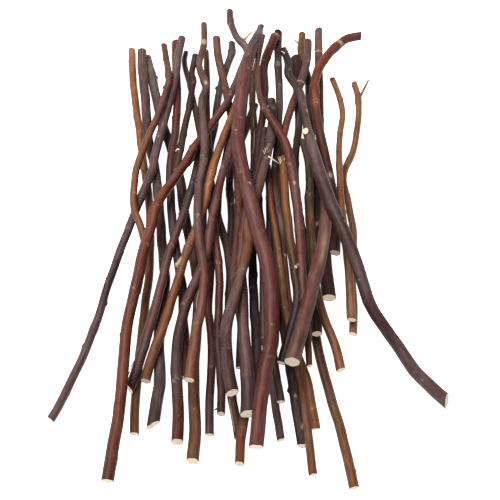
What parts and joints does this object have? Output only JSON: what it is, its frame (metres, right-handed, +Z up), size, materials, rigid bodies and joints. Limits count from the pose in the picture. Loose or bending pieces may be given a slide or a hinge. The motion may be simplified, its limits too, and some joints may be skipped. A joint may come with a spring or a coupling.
{
  "type": "bundle of twigs",
  "caption": "Loose bundle of long, slim, slightly crooked cut twigs lying as a heap, with pale cut ends, knots and a few side shoots; a natural decorative filler or craft piece.",
  "frame": {"origin": "on the table, under the middle of the heap's box", "axes": "+Z up; +Y along the twigs, towards their thin tips; the cut ends point to -Y"},
  "size_m": [0.3566, 0.5529, 0.0773],
  "materials": {
    "bark_orange": "smooth orange-brown bark, satin, dry",
    "bark_tan": "smooth tan bark, satin, dry",
    "bark_red": "smooth red-brown bark, satin, dry",
    "bark_mauve": "smooth mauve-brown bark, satin, dry",
    "bark_grey": "smooth grey-mauve bark, matt, dry",
    "bark_dark": "smooth dark brown bark, matt, dry"
  },
  "bodies": {
    "root": {"twig_01_mauve": "bark_mauve", "twig_02_red": "bark_red", "twig_03_brown": "bark_red", "twig_04_orange": "bark_orange", "twig_05_orange": "bark_orange", "twig_06_orange": "bark_orange", "twig_07_grey": "bark_grey", "twig_08_brown": "bark_dark", "twig_09_mauve": "bark_mauve", "twig_10_red": "bark_red", "twig_11_mauve": "bark_mauve", "twig_12_brown": "bark_dark", "twig_13_dark": "bark_dark", "twig_14_mauve": "bark_mauve", "twig_15_red": "bark_red", "twig_16_grey": "bark_grey", "twig_17_red": "bark_red", "twig_18_dark": "bark_dark", "twig_19_brown": "bark_dark", "twig_20_dark": "bark_dark", "twig_21_brown": "bark_red", "twig_22_mauve": "bark_red", "twig_23_red": "bark_red", "twig_24_mauve": "bark_mauve", "twig_25_orange": "bark_orange", "twig_26_golden": "bark_orange", "twig_27_mauve": "bark_mauve", "twig_28_dark": "bark_dark", "twig_29_red": "bark_red", "twig_30_grey": "bark_grey", "twig_31_orange": "bark_orange", "twig_32_dark": "bark_dark", "twig_33_dark": "bark_dark", "twig_34_red": "bark_red", "twig_35_olive": "bark_orange", "twig_36_tan": "bark_tan", "twig_37_tan": "bark_tan", "twig_38_brown": "bark_orange", "twig_39_dark": "bark_mauve"}
  },
  "joints": []
}
